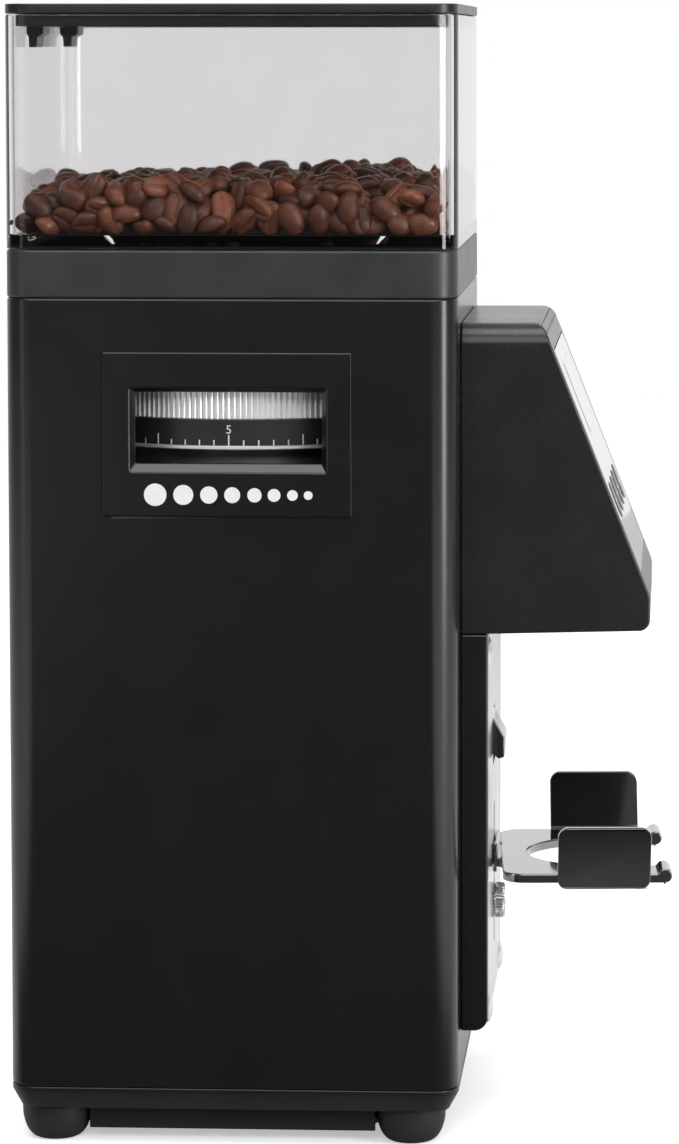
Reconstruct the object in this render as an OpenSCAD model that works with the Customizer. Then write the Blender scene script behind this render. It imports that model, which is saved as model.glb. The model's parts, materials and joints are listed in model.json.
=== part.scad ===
// Burr coffee grinder: flat burrs on a vertical motor, clear hopper on top, fork in front.
// +Z is up and +X is the front. The origin is under the middle of the whole machine, where it stands.
// Inside the modules X is measured from the back face of the body, and place() moves it to the origin.

/* [Overall] */
// From the back face to the tips of the fork
total_depth = 242.8; // [238:0.1:250]
// Height with the lid on
total_height = 418; // [414:0.5:424]
// Gap between parts that lift off or slide
seam = 0.3; // [0.2:0.05:0.5]

/* [Body] */
// Width of the body
body_w = 160; // [156:1:164]
// Depth of the body, without the column
body_d = 164.6; // [160:0.1:168]
// Radius of the upright corners
corner_r = 10; // [6:0.5:14]
// Thickness of the shell walls
wall = 3; // [2:0.1:3.5]
// Bottom edge of the shell
shell_bottom = 22; // [20:0.5:24]
// Top edge of the shell
shell_top = 311.7; // [308:0.1:314]
// Bottom face of the base pan
base_bottom = 13.6; // [12:0.1:15]
// How far the base pan tapers in at its bottom
base_taper = 3.5; // [1:0.5:6]

/* [Hopper] */
// Top edge of the collar under the hopper
collar_top = 329; // [326:0.1:332]
// Thickness of the lid plate
lid_t = 3.6; // [3:0.1:5]
// Depth of the layer of beans above the hopper floor
bean_depth = 22; // [10:1:60]
// Radius of the hopper's throat
throat_r = 21; // [18:0.5:23]

/* [Window] */
// Back edge of the bezel
bezel_x0 = 36; // [34:0.5:38]
// Front edge of the bezel
bezel_x1 = 126.4; // [124:0.1:129]
// Bottom edge of the bezel
bezel_z0 = 232.5; // [230:0.5:234]
// Top edge of the bezel
bezel_z1 = 292.2; // [290:0.1:295]
// How far the bezel stands out of the shell
bezel_proud = 0.8; // [0.4:0.1:1.2]

/* [Burrs] */
// Diameter of the burrs
burr_d = 54; // [50:1:58]
// Gap between the burrs at rest
burr_gap = 0.85; // [0.8:0.05:1.2]
// Number of cutting grooves in each burr
groove_count = 18; // [12:1:24]
// Radius of the adjusting ring
ring_r = 70; // [66:0.5:72]

/* [Motor] */
// Outer radius of the stator
stator_r = 54; // [48:1:56]
// Radius of the motor shaft
shaft_r = 6; // [5:0.5:7]
// Number of fan blades
blade_count = 9; // [5:1:12]

/* [Front] */
// Width of the chute housing and the column
cover_w = 113; // [108:1:118]
// Radius of the long top edges of the chute housing
cover_edge_r = 8; // [4:0.5:10]
// Front face of the column
column_x = 174.6; // [173:0.1:176]
// Bottom of the column
column_bottom = 39; // [36:1:42]
// Radius of the domed screw heads on the facing plate
dome_r = 6; // [4:0.5:7]

/* [Fork] */
// Top face of the fork plate
fork_top = 95.5; // [92:0.5:98]
// Thickness of the fork plate
fork_t = 3.5; // [3:0.1:4]
// Half of the fork's width
fork_half = 45; // [42:0.5:48]
// Radius of the U in the fork
fork_cut_r = 28; // [24:0.5:30]
// Angle that the fork is turned by on its carriage
fork_turn = 3.3; // [0:0.1:4]

/* [Hidden] */
$fn = 96;
tiny = 0.1;

// Places that several parts share
axis_x = body_d / 2;
foot_x = [15.2, 146.6];
foot_y = 62;
screw_r = 2.1;
lid_bottom = total_height - lid_t;
hopper_bottom = collar_top + seam;
hopper_floor = hopper_bottom + 5;
hopper_top = lid_bottom - seam;
deck_hole_r = 62;
pillar_r = 5;
plate_z = [196, 202];
retainer_z = [283.6, 286.1];

// Levels up the grinding axis
lower_carrier_z = [229, 236];
lower_burr_t = 7.4;
upper_burr_z0 = lower_carrier_z[1] + lower_burr_t + burr_gap;
upper_burr_z1 = upper_burr_z0 + lower_burr_t;
chamber_r = 54;
chamber_ledge = 256;
neck_r = 49.5;
neck_top = 277;
cavity_r = 36;
cavity_floor = 228;
ring_bore_r = 50.3;
ring_z = [257.3, 266.8, 283];
ring_lip_z = 255.8;
band_in_r = 66;
flange_z = [279, 286];
pin_circle_r = 43;
pin_r = 2.5;

// Levels up the motor
fan_z = 60;
lower_bell_z = [84, 110];
upper_bell_z = [170, 196];
bolt_circle_r = 58;
bolt_r = 2;

// Chute housing
cover_top = 301.4;
slope_top_x = 194.8;
nose_x = 234.2;
slope_bottom_z = 201.2;
nose_bottom_z = 188.5;
under_z = 186.7;
slope_angle = atan2(cover_top - slope_bottom_z, nose_x - slope_top_x);
spout_x = 203;
panel_size = [88, 102];
plate_t = 1.5;

// Trigger
trigger_hinge = [169, 147];
trigger_w = 22;
trigger_slot_z = [130, 151.5];

// Fork
fork_x = 177.2;
knob_z = 76.6;
knob_r = 6.7;
tip_r = 2.65;
fork_reach = (total_depth - fork_x - fork_half * sin(fork_turn)) / cos(fork_turn);
slot_z = [60.5, 114.5];
slot_half = 4;

// Rear inlet
inlet_z = [34, 68];
inlet_half = 45;
rocker_hinge = [12, 51];
rocker_y = -25;
gland_y = 22;

module place() { translate([-total_depth / 2, 0, 0]) children(); }
module on_axis() { place() translate([axis_x, 0, 0]) children(); }

// Half a turn of copies about the grinding axis
module around(count, start = 0) {
    for (i = [0:count - 1]) rotate([0, 0, start + i * 360 / count]) children();
}

module at_corners() {
    for (x = foot_x, y = [-foot_y, foot_y]) translate([x, y, 0]) children();
}

module rounded_rect(x0, x1, half, r) {
    translate([x0 + r, -half]) square([x1 - x0 - 2 * r, 2 * half]);
    translate([x0, r - half]) square([x1 - x0, 2 * (half - r)]);
    for (x = [x0 + r, x1 - r], y = [r - half, half - r]) translate([x, y]) circle(r);
}

// A layer of the body's outline, set in from its faces
module slab(z0, z1, inset = 0) {
    translate([0, 0, z0]) linear_extrude(z1 - z0)
        rounded_rect(inset, body_d - inset, body_w / 2 - inset, max(corner_r - inset, 1));
}

// A profile in X and Z, made as wide as w across Y
module across(w) {
    rotate([90, 0, 0]) translate([0, 0, -w / 2]) linear_extrude(w) children();
}

module along_x(x0, x1, y, z) {
    translate([x0, y, z]) rotate([0, 90, 0]) linear_extrude(x1 - x0) children();
}

function unit(v) = v / norm(v);
function corner(a, b, c, r, n) =
    r == 0 ? [b] :
    let (u = unit(a - b), v = unit(c - b), half = acos(u * v) / 2,
         centre = b + unit(u + v) * r / sin(half),
         start = b + u * r / tan(half) - centre, end = b + v * r / tan(half) - centre)
    [for (i = [0:n]) centre + r * unit(start * (n - i) / n + end * i / n)];
function rounded(points, radii, n = 8) = [
    for (i = [0:len(points) - 1])
        each corner(points[(i + len(points) - 1) % len(points)], points[i],
                    points[(i + 1) % len(points)], radii[i], n)
];

// ---- Hopper ----

module hopper_lid() {
    flange = [3.8, 5.8];
    lug_y = 44;
    color([0.09, 0.09, 0.10]) place() {
        slab(lid_bottom, total_height);
        difference() {
            slab(lid_bottom - 4.6, lid_bottom, flange[0]);
            slab(lid_bottom - 5, lid_bottom + tiny, flange[1]);
        }
        for (side = [-1, 1]) translate([flange[0], side * lug_y, lid_bottom]) across(16) polygon([
            [0, 0], [7.8, 0], [7.4, -7.4], [5.2, -8.4], [4.9, -12.2], [1.8, -12.2], [1.5, -8.4], [0.4, -7.4]
        ]);
    }
}

module hopper_bin() {
    hopper_wall = 3;
    mouth_r = 56.5;
    neck_z = [284, 301.5];
    color([0.85, 0.87, 0.88, 0.35]) {
        place() difference() {
            slab(hopper_bottom, hopper_top);
            slab(hopper_floor, hopper_top + tiny, hopper_wall);
            translate([axis_x, 0, hopper_bottom - 1]) cylinder(r = mouth_r + 2, h = 8);
        }
        on_axis() rotate_extrude() polygon([
            [mouth_r, hopper_floor], [mouth_r + 4, hopper_floor], [mouth_r + 4, hopper_bottom],
            [throat_r + 3, neck_z[1] - 2], [throat_r + 3, neck_z[0]],
            [throat_r, neck_z[0]], [throat_r, neck_z[1]]
        ]);
    }
}

module coffee_beans() {
    floor_z = hopper_floor + seam;
    color([0.36, 0.20, 0.11]) {
        place() slab(floor_z, floor_z + bean_depth, 3 + seam);
        on_axis() rotate_extrude()
            polygon([[0, 303], [throat_r - 1, 303], [54.5, floor_z], [0, floor_z]]);
    }
}

module top_collar() {
    deck_t = 3;
    color([0.11, 0.11, 0.12]) place() {
        difference() {
            union() {
                difference() {
                    slab(shell_top, collar_top);
                    slab(shell_top - tiny, collar_top - deck_t, wall);
                }
                at_corners() translate([0, 0, shell_top])
                    cylinder(r = 6, h = collar_top - deck_t - shell_top);
            }
            translate([axis_x, 0, shell_top - 1]) cylinder(r = deck_hole_r + 2, h = 30);
            at_corners() translate([0, 0, shell_top - 1]) cylinder(r = screw_r, h = 30);
            at_corners() translate([0, 0, collar_top - deck_t]) cylinder(r = 4, h = 4);
        }
    }
}

// A screw with its axis up, its head's underside at z, and its shank below or above it
module machine_screw(z, shank_z, head_r, head_h) {
    difference() {
        union() {
            translate([0, 0, min(z, z + head_h)]) cylinder(r = head_r, h = abs(head_h));
            translate([0, 0, min(z, shank_z)]) cylinder(r = screw_r, h = abs(shank_z - z));
        }
        translate([0, 0, head_h > 0 ? z + head_h - 1.2 : z + head_h - 0.1])
            cylinder(r = head_r * 0.45, h = 1.3, $fn = 6);
    }
}

module collar_screws() {
    color([0.70, 0.71, 0.73]) place() at_corners() machine_screw(collar_top - 3, 292, 3.8, 2.4);
}

// ---- Body ----

module body_shell() {
    vent_rows = 9;
    color([0.13, 0.13, 0.14]) place() difference() {
        slab(shell_bottom, shell_top);
        slab(shell_bottom - 1, shell_top - wall, wall);
        translate([axis_x, 0, shell_top - wall - 1]) cylinder(r = deck_hole_r, h = wall + 2);
        at_corners() translate([0, 0, shell_top - wall - 1]) cylinder(r = screw_r, h = wall + 2);
        // window
        translate([bezel_x0 + 2, -body_w / 2 - 1, bezel_z0 + 2])
            cube([bezel_x1 - bezel_x0 - 4, wall + 2, bezel_z1 - bezel_z0 - 4]);
        // chute and trigger
        translate([body_d - wall - 1, -13, 222]) cube([wall + 2, 26, 28]);
        translate([body_d - wall - 1, -14, 126]) cube([wall + 2, 28, 32]);
        // inlet
        translate([-1, -inlet_half, inlet_z[0]]) cube([wall + 2, 2 * inlet_half, inlet_z[1] - inlet_z[0]]);
        // vents at the back
        for (i = [0:vent_rows - 1])
            translate([-1, -32, 96 + i * 9]) cube([wall + 2, 64, 3.5]);
    }
}

module base_pan() {
    floor_t = 3.4;
    color([0.10, 0.10, 0.11]) place() difference() {
        hull() {
            slab(shell_bottom - 2, shell_bottom, $fn = 32);
            slab(base_bottom, base_bottom + 0.5, base_taper, $fn = 32);
        }
        slab(base_bottom + floor_t, shell_bottom + 1, base_taper + 2);
        at_corners() translate([0, 0, base_bottom - 1]) cylinder(r = screw_r, h = 9);
        for (i = [-3:3]) translate([52, i * 12 - 2, base_bottom - 1]) cube([60, 4, 6]);
    }
}

module bottom_cover() {
    inset = 12;
    color([0.08, 0.08, 0.09]) place() difference() {
        slab(4, base_bottom, inset);
        slab(6.5, base_bottom + 1, inset + 2.5);
        at_corners() translate([0, 0, 3]) cylinder(r = 14, h = 12);
        for (i = [-3:3]) translate([52, i * 12 - 2, 3]) cube([60, 4, 5]);
    }
}

module feet() {
    dome = [for (a = [0:10:90]) [7 + 5.8 * cos(a), 11 - 11 * sin(a)]];
    color([0.07, 0.07, 0.07]) place() at_corners() rotate_extrude()
        polygon(concat([[screw_r, 5.5], [screw_r, base_bottom], [12.8, base_bottom]],
                       dome, [[4.2, 0], [4.2, 5.5]]));
}

module foot_screws() {
    color([0.70, 0.71, 0.73]) place() at_corners() machine_screw(5.5, 31, 3.9, -2.4);
}

// Each pillar is three rods, with the motor plate and the ring retainer held between them
module frame_pillars() {
    floor_z = base_bottom + 3.4;
    spans = [[floor_z, plate_z[0]], [plate_z[1], retainer_z[0]], [retainer_z[1], shell_top - wall]];
    color([0.72, 0.73, 0.75]) place() difference() {
        for (span = spans) at_corners() translate([0, 0, span[0]])
            cylinder(r = pillar_r, h = span[1] - span[0]);
        at_corners() translate([0, 0, floor_z - 1]) cylinder(r = screw_r, h = 17);
        at_corners() translate([0, 0, shell_top - wall - 17]) cylinder(r = screw_r, h = 18);
    }
}

// ---- Window and adjusting ring ----

module scale_bezel() {
    opening_x = [47.7, 115.4];
    opening_z = [251.8, 277.6];
    lip = [2.1, 3.2, 1.8];
    color([0.12, 0.12, 0.13]) place() difference() {
        union() {
            translate([bezel_x0, -body_w / 2 - bezel_proud, bezel_z0])
                cube([bezel_x1 - bezel_x0, bezel_proud, bezel_z1 - bezel_z0]);
            translate([bezel_x0 + 2, -body_w / 2, bezel_z0 + 2])
                cube([bezel_x1 - bezel_x0 - 4, wall, bezel_z1 - bezel_z0 - 4]);
        }
        translate([opening_x[0], -body_w / 2 - 2, opening_z[0]])
            cube([opening_x[1] - opening_x[0], wall + 4, opening_z[1] - opening_z[0]]);
        // sloping lip round the opening
        hull() {
            translate([opening_x[0] - lip[0], -body_w / 2 - bezel_proud - tiny, opening_z[0] - lip[1]])
                cube([opening_x[1] - opening_x[0] + 2 * lip[0], tiny,
                      opening_z[1] - opening_z[0] + lip[1] + lip[2]]);
            translate([opening_x[0], -body_w / 2 + 2, opening_z[0]])
                cube([opening_x[1] - opening_x[0], tiny, opening_z[1] - opening_z[0]]);
        }
    }
}

module adjusting_ring() {
    lip_r = [60, ring_r - 0.1];
    color([0.80, 0.81, 0.83]) on_axis() rotate_extrude($fn = 180) polygon([
        [ring_bore_r, ring_z[0]], [lip_r[0], ring_z[0]], [lip_r[0], ring_lip_z], [lip_r[1], ring_lip_z],
        [lip_r[1], ring_z[0]], [band_in_r, ring_z[0]], [band_in_r, ring_z[1]],
        [ring_r, ring_z[1]], [ring_r, ring_z[2]], [ring_bore_r, ring_z[2]]
    ]);
}

module scale_band() {
    color([0.08, 0.08, 0.08]) on_axis() rotate_extrude($fn = 180) polygon([
        [band_in_r, ring_z[0]], [ring_r - 0.4, ring_z[0]], [ring_r - 0.4, ring_z[1]], [band_in_r, ring_z[1]]
    ]);
}

module ring_retainer() {
    color([0.62, 0.63, 0.65]) place() difference() {
        slab(retainer_z[0], retainer_z[1], wall + 0.5);
        translate([axis_x, 0, retainer_z[0] - 1]) cylinder(r = neck_r + 4.5, h = 5);
    }
}

// ---- Burrs ----

module burr_grooves(z, up) {
    around(groove_count) translate([15, 0, z]) rotate([up * 35, up * 7, 0])
        translate([0, -0.9, -0.9]) cube([14, 1.8, 1.8]);
}

module upper_burr_carrier() {
    color([0.68, 0.66, 0.60]) on_axis() difference() {
        rotate_extrude() polygon([
            [19, upper_burr_z1], [cavity_r - 0.4, upper_burr_z1], [cavity_r - 0.4, flange_z[0]],
            [neck_r + 0.4, flange_z[0]], [neck_r + 0.4, flange_z[1]], [throat_r + 6, flange_z[1]],
            [throat_r + 6, 262], [19, 258]
        ]);
        around(3) translate([pin_circle_r, 0, flange_z[0] - 1]) cylinder(r = pin_r + 0.35, h = 9);
        around(3, 30) translate([23.5, 0, upper_burr_z1 - 1]) cylinder(r = 1.4, h = 7);
    }
}

module upper_burr() {
    color([0.72, 0.72, 0.74]) on_axis() difference() {
        rotate_extrude() polygon([
            [17, upper_burr_z1], [burr_d / 2, upper_burr_z1], [burr_d / 2, upper_burr_z0],
            [20.5, upper_burr_z0], [17, upper_burr_z0 + 3]
        ]);
        burr_grooves(upper_burr_z0, 1);
        around(3, 30) translate([23.5, 0, upper_burr_z0 - 1]) cylinder(r = 1.4, h = 10);
        around(3, 30) translate([23.5, 0, upper_burr_z0 - 1]) cylinder(r = 2.6, h = 3.4);
    }
}

module upper_burr_screws() {
    color([0.55, 0.56, 0.58]) on_axis() around(3, 30) translate([23.5, 0, 0]) {
        translate([0, 0, upper_burr_z0 + 1]) cylinder(r = 2.5, h = 1.4);
        translate([0, 0, upper_burr_z0 + 2.4]) cylinder(r = 1.4, h = 10.5);
    }
}

module guide_pins() {
    color([0.75, 0.76, 0.78]) on_axis() around(3) translate([pin_circle_r, 0, 264])
        cylinder(r = pin_r, h = 21.5);
}

module carrier_springs() {
    coil_r = 2.6;
    wire_r = 0.4;
    color([0.78, 0.79, 0.80]) on_axis() around(3, 60) for (i = [0:7])
        translate([pin_circle_r, 0, 269 + i * 1.15]) rotate_extrude($fn = 32)
            translate([coil_r, 0]) circle(wire_r, $fn = 16);
}

module grinding_chamber() {
    color([0.66, 0.67, 0.68]) on_axis() difference() {
        rotate_extrude() polygon([
            [14, plate_z[1]], [64, plate_z[1]], [64, plate_z[1] + 6], [chamber_r, plate_z[1] + 6],
            [chamber_r, chamber_ledge], [neck_r, chamber_ledge], [neck_r, neck_top],
            [cavity_r, neck_top], [cavity_r, cavity_floor], [shaft_r + 2, cavity_floor],
            [shaft_r + 2, 216], [14, 216]
        ]);
        // outlet to the chute
        translate([cavity_r - 4, -9, cavity_floor + 0.5]) cube([24, 18, 14.5]);
        around(3) translate([pin_circle_r, 0, 264]) cylinder(r = pin_r, h = 14);
        around(3, 60) translate([pin_circle_r, 0, 268]) cylinder(r = 3.3, h = 10);
        around(4, 45) translate([bolt_circle_r, 0, plate_z[1] - 1]) cylinder(r = bolt_r, h = 8);
    }
}

module feed_nut() {
    color([0.60, 0.61, 0.63]) on_axis() difference() {
        rotate_extrude() polygon([
            [0, 236], [12, 236], [12, 244], [7, 255], [4, 258], [0, 258]
        ]);
        translate([0, 0, 235]) cylinder(r = shaft_r, h = 15);
    }
}

module lower_burr() {
    z = lower_carrier_z[1];
    color([0.70, 0.70, 0.72]) on_axis() difference() {
        rotate_extrude() polygon([
            [17, z], [burr_d / 2, z], [burr_d / 2, z + lower_burr_t], [20.5, z + lower_burr_t], [17, z + 4.4]
        ]);
        burr_grooves(z + lower_burr_t, -1);
        around(3) translate([23.5, 0, z - 1]) cylinder(r = 1.4, h = 10);
        around(3) translate([23.5, 0, z + 5]) cylinder(r = 2.6, h = 4);
    }
}

module lower_burr_screws() {
    z = lower_carrier_z[1];
    color([0.55, 0.56, 0.58]) on_axis() around(3) translate([23.5, 0, 0]) {
        translate([0, 0, z + 5]) cylinder(r = 2.5, h = 1.4);
        translate([0, 0, z - 5]) cylinder(r = 1.4, h = 10);
    }
}

module lower_burr_carrier() {
    height = lower_carrier_z[1] - lower_carrier_z[0];
    color([0.68, 0.66, 0.60]) on_axis() difference() {
        union() {
            translate([0, 0, lower_carrier_z[0]]) cylinder(r = 30, h = height);
            around(3, 60) translate([28, -2.5, lower_carrier_z[0]]) cube([7, 5, height - 1]);
        }
        translate([0, 0, lower_carrier_z[0] - 1]) cylinder(r = shaft_r, h = height + 2);
        around(3) translate([23.5, 0, lower_carrier_z[1] - 5]) cylinder(r = 1.4, h = 6);
    }
}

// ---- Motor ----

module rotor_shaft() {
    color([0.75, 0.76, 0.78]) on_axis() translate([0, 0, 54]) cylinder(r = shaft_r, h = 196);
}

module rotor_core() {
    color([0.45, 0.45, 0.47]) on_axis() difference() {
        translate([0, 0, lower_bell_z[1] + 1]) cylinder(r = 29.5, h = upper_bell_z[0] - lower_bell_z[1] - 2);
        translate([0, 0, 100]) cylinder(r = shaft_r, h = 90);
    }
}

module cooling_fan() {
    color([0.15, 0.15, 0.16]) on_axis() difference() {
        union() {
            translate([0, 0, fan_z]) cylinder(r = 44, h = 2);
            translate([0, 0, fan_z]) cylinder(r = 11, h = 16);
            around(blade_count) translate([10, -1, fan_z + 1]) cube([33.5, 2, 13]);
        }
        translate([0, 0, fan_z - 1]) cylinder(r = shaft_r, h = 20);
    }
}

module bearing(z, height) {
    translate([0, 0, z]) difference() {
        cylinder(r = 14, h = height);
        translate([0, 0, -1]) cylinder(r = shaft_r + 0.05, h = height + 2);
        // shield grooves
        for (side = [-1, height - 0.5]) translate([0, 0, side]) difference() {
            cylinder(r = 12, h = 1.5);
            translate([0, 0, -1]) cylinder(r = 8.5, h = 4);
        }
    }
}

module shaft_bearings() {
    color([0.76, 0.77, 0.79]) on_axis() {
        bearing(206, 10);
        bearing(upper_bell_z[1] - 9, 9);
        bearing(lower_bell_z[0], 9);
    }
}

module motor_plate() {
    color([0.62, 0.63, 0.65]) place() difference() {
        slab(plate_z[0], plate_z[1], wall + 0.5);
        translate([axis_x, 0, plate_z[0] - 1]) cylinder(r = 16, h = 8);
        translate([axis_x, 0, plate_z[0] - 1]) around(4, 45) translate([bolt_circle_r, 0, 0])
            cylinder(r = bolt_r, h = 8);
        for (x = [30, 134.6], y = [-24, 24]) translate([x, y, plate_z[0] - 1]) cylinder(r = 9, h = 8);
    }
}

// Cup that closes one end of the motor, drawn with its floor down
module end_bell(height) {
    difference() {
        union() {
            rotate_extrude() polygon([
                [14, 0], [56, 0], [56, height], [51, height], [51, 3], [18, 3], [18, 12], [14, 12]
            ]);
            around(4, 45) translate([bolt_circle_r, 0, 0]) cylinder(r = 5, h = 6);
        }
        around(4, 45) translate([bolt_circle_r, 0, -1]) cylinder(r = bolt_r, h = 8);
        around(8, 22.5) translate([35, 0, -1]) cylinder(r = 6, h = 5);
    }
}

module lower_end_bell() {
    color([0.64, 0.65, 0.66]) on_axis() translate([0, 0, lower_bell_z[0]])
        end_bell(lower_bell_z[1] - lower_bell_z[0]);
}

module upper_end_bell() {
    color([0.64, 0.65, 0.66]) on_axis() translate([0, 0, upper_bell_z[1]]) mirror([0, 0, 1])
        end_bell(upper_bell_z[1] - upper_bell_z[0]);
}

module stator_core() {
    color([0.50, 0.51, 0.53]) on_axis() translate([0, 0, lower_bell_z[1]]) difference() {
        cylinder(r = stator_r, h = upper_bell_z[0] - lower_bell_z[1]);
        translate([0, 0, -1]) cylinder(r = 30, h = 80);
    }
}

module stator_windings() {
    ends = [[lower_bell_z[1] - 14, lower_bell_z[1]], [upper_bell_z[0], upper_bell_z[0] + 14]];
    color([0.72, 0.38, 0.18]) on_axis() for (z = ends)
        rotate_extrude() polygon([
            [33, z[0] + 2], [36, z[0]], [46, z[0]], [49, z[0] + 2],
            [49, z[1] - 2], [46, z[1]], [36, z[1]], [33, z[1] - 2]
        ]);
}

module motor_bolts() {
    color([0.70, 0.71, 0.73]) on_axis() around(4, 45) translate([bolt_circle_r, 0, 0]) {
        translate([0, 0, lower_bell_z[0] - 3]) cylinder(r = 4, h = 3, $fn = 6);
        translate([0, 0, lower_bell_z[0]]) cylinder(r = bolt_r, h = plate_z[1] + 6 - lower_bell_z[0]);
        translate([0, 0, plate_z[1] + 6]) cylinder(r = 3.6, h = 3, $fn = 6);
    }
}

module motor_capacitor() {
    r = 15;
    color([0.86, 0.86, 0.84]) place() {
        translate([40, -20, base_bottom + 3.4 + r]) rotate([90, 0, 0]) cylinder(r = r, h = 44, center = true);
        translate([40 - r, -30, base_bottom + 3.4]) cube([2 * r, 20, 3]);
    }
}

module power_board() {
    z = 25;
    color([0.10, 0.34, 0.20]) place() {
        translate([66, -48, z]) cube([66, 96, 1.6]);
        for (x = [70, 128], y = [-44, 44])
            translate([x, y, base_bottom + 3.4]) cylinder(r = 3, h = z - base_bottom - 3.4);
        translate([72, -38, z + 1.6]) cube([28, 18, 16]);
        translate([72, -8, z + 1.6]) cube([20, 22, 20]);
        translate([106, 12, z + 1.6]) cube([16, 28, 12]);
        for (y = [-30, -14]) translate([114, y, z + 1.6]) cylinder(r = 6, h = 22);
    }
}

// ---- Chute, housing and column ----

module chute_duct() {
    start_x = axis_x + chamber_r + 0.6;
    color([0.20, 0.20, 0.21]) place() difference() {
        across(22) polygon([
            [start_x, 226], [162, 226], [188, 212], [188, 204.5],
            [218, 204.5], [218, 221], [166, 246], [start_x, 246]
        ]);
        across(18) polygon([
            [start_x - 1, 228], [162.5, 228], [190, 213.2], [190, 204], [216, 204],
            [216, 219.7], [165.5, 244], [start_x - 1, 244]
        ]);
    }
}

module chute_flap() {
    color([0.75, 0.75, 0.72]) place() translate([spout_x, 0, 203.5]) difference() {
        cylinder(r = 14, h = 1);
        for (a = [0, 60, 120]) rotate([0, 0, a]) translate([-10, -0.3, -1]) cube([20, 0.6, 3]);
    }
}

module spout() {
    color([0.10, 0.10, 0.10]) place() translate([spout_x, 0, 0]) rotate_extrude() polygon([
        [12.5, 187], [14.8, 187], [14.8, 200.5], [17, 200.5], [17, 203.5], [12.5, 203.5]
    ]);
}

// Side view of the chute housing, set in from its outside by w
function housing_outline(w) = [
    [body_d - (w > 0 ? 1 : 0), cover_top - w],
    [slope_top_x - 0.681 * w, cover_top - w],
    [nose_x - w, slope_bottom_z - 0.19 * w],
    [nose_x - w, nose_bottom_z + w],
    [body_d - (w > 0 ? 1 : 0), under_z + w]
];

// Frame on the slanted face: X down the slope, Z out of it
module on_slope() {
    translate([slope_top_x, 0, cover_top]) rotate([0, slope_angle, 0]) children();
}

// The housing's bulk: its side view, with the long top edges rounded off
module housing_bulk(w, radii, edge_r) {
    half = cover_w / 2 - w;
    top = cover_top - w;
    intersection() {
        across(2 * half) polygon(rounded(housing_outline(w), radii));
        translate([body_d - 2, 0, 0]) rotate([90, 0, 90]) linear_extrude(nose_x - body_d + 4) union() {
            translate([-half, under_z - 1]) square([2 * half, top - edge_r - under_z + 1]);
            translate([edge_r - half, under_z - 1]) square([2 * (half - edge_r), top - under_z + 1]);
            for (side = [-1, 1]) translate([side * (half - edge_r), top - edge_r]) circle(edge_r);
        }
    }
}

module chute_housing() {
    color([0.12, 0.12, 0.13]) place() difference() {
        housing_bulk(0, [0, 5.5, 8, 4, 0], cover_edge_r);
        housing_bulk(wall, [0, 2.5, 5, 1, 0], cover_edge_r - wall);
        // panel opening and its ledge
        on_slope() translate([11, -panel_size[1] / 2, -2.2]) cube([panel_size[0], panel_size[1], 4]);
        on_slope() translate([13, -panel_size[1] / 2 + 2, -8])
            cube([panel_size[0] - 4, panel_size[1] - 4, 10]);
        // spout, and a way for the wires down to the column
        translate([spout_x, 0, 180]) cylinder(r = 14.8, h = 14);
        translate([body_d - 1, -40, 180]) cube([8, 20, 14]);
    }
}

module column_cover() {
    boss_y = [12.5, 19];
    outside = [[body_d, under_z], [column_x, under_z], [column_x, column_bottom], [body_d, column_bottom]];
    color([0.12, 0.12, 0.13]) place() difference() {
        union() {
            difference() {
                across(cover_w) polygon(rounded(outside, [0, 0, 5, 0]));
                translate([body_d - 1, wall - cover_w / 2, column_bottom + wall])
                    cube([column_x - wall - body_d + 1, cover_w - 2 * wall, under_z - column_bottom]);
            }
            for (side = [-1, 1])
                translate([body_d + 0.4, side > 0 ? boss_y[0] : -boss_y[1], trigger_hinge[1] - 4])
                    cube([column_x - wall - body_d, boss_y[1] - boss_y[0], 8]);
        }
        // recess for the facing plate
        translate([column_x - plate_t, -50, 41]) cube([3, 100, 144.5]);
        for (y = [-44, 44], z = [45.5, 179]) along_x(168, 180, y, z) circle(screw_r);
        // slots for the fork and the trigger
        translate([168, -slot_half, slot_z[0]]) cube([10, 2 * slot_half, slot_z[1] - slot_z[0]]);
        translate([column_x - wall - 1, -trigger_w / 2 - 0.5, trigger_slot_z[0]])
            cube([10, trigger_w + 1, trigger_slot_z[1] - trigger_slot_z[0]]);
        translate([trigger_hinge[0], 0, trigger_hinge[1]]) rotate([90, 0, 0])
            cylinder(r = 1.5, h = 34, center = true);
    }
}

module control_panel() {
    color([0.16, 0.16, 0.17]) place() on_slope() difference() {
        translate([11.2, -panel_size[1] / 2 + 0.2, -2.2])
            cube([panel_size[0] - 0.4, panel_size[1] - 0.4, 2.2]);
        translate([18, -24, -3]) cube([28, 48, 4]);
        for (y = [-33, -11, 11, 33]) translate([72, y, -3]) cylinder(r = 7, h = 4);
    }
}

module display_lens() {
    color([0.03, 0.03, 0.04]) place() on_slope() translate([18, -24, -2.2]) cube([28, 48, 2.3]);
}

module touch_keys() {
    color([0.55, 0.56, 0.58]) place() on_slope() for (y = [-33, -11, 11, 33])
        translate([72, y, -2.2]) cylinder(r = 7, h = 2.5);
}

module control_board() {
    color([0.08, 0.30, 0.18]) place() on_slope() {
        translate([14, -40, -8.4]) cube([66, 80, 1.6]);
        translate([20, -20, -6.8]) cube([24, 40, 3]);
        for (y = [-33, -11, 11, 33]) translate([72, y, -6.8]) cylinder(r = 4, h = 2);
    }
}

module front_plate() {
    color([0.80, 0.81, 0.82]) place() difference() {
        translate([column_x - plate_t, -50, 41]) cube([plate_t, 100, 144.5]);
        for (y = [-44, 44], z = [45.5, 179]) along_x(168, 180, y, z) circle(screw_r);
        translate([168, -slot_half, slot_z[0]]) cube([10, 2 * slot_half, slot_z[1] - slot_z[0]]);
        translate([168, -trigger_w / 2 - 0.5, trigger_slot_z[0]])
            cube([10, trigger_w + 1, trigger_slot_z[1] - trigger_slot_z[0]]);
    }
}

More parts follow.
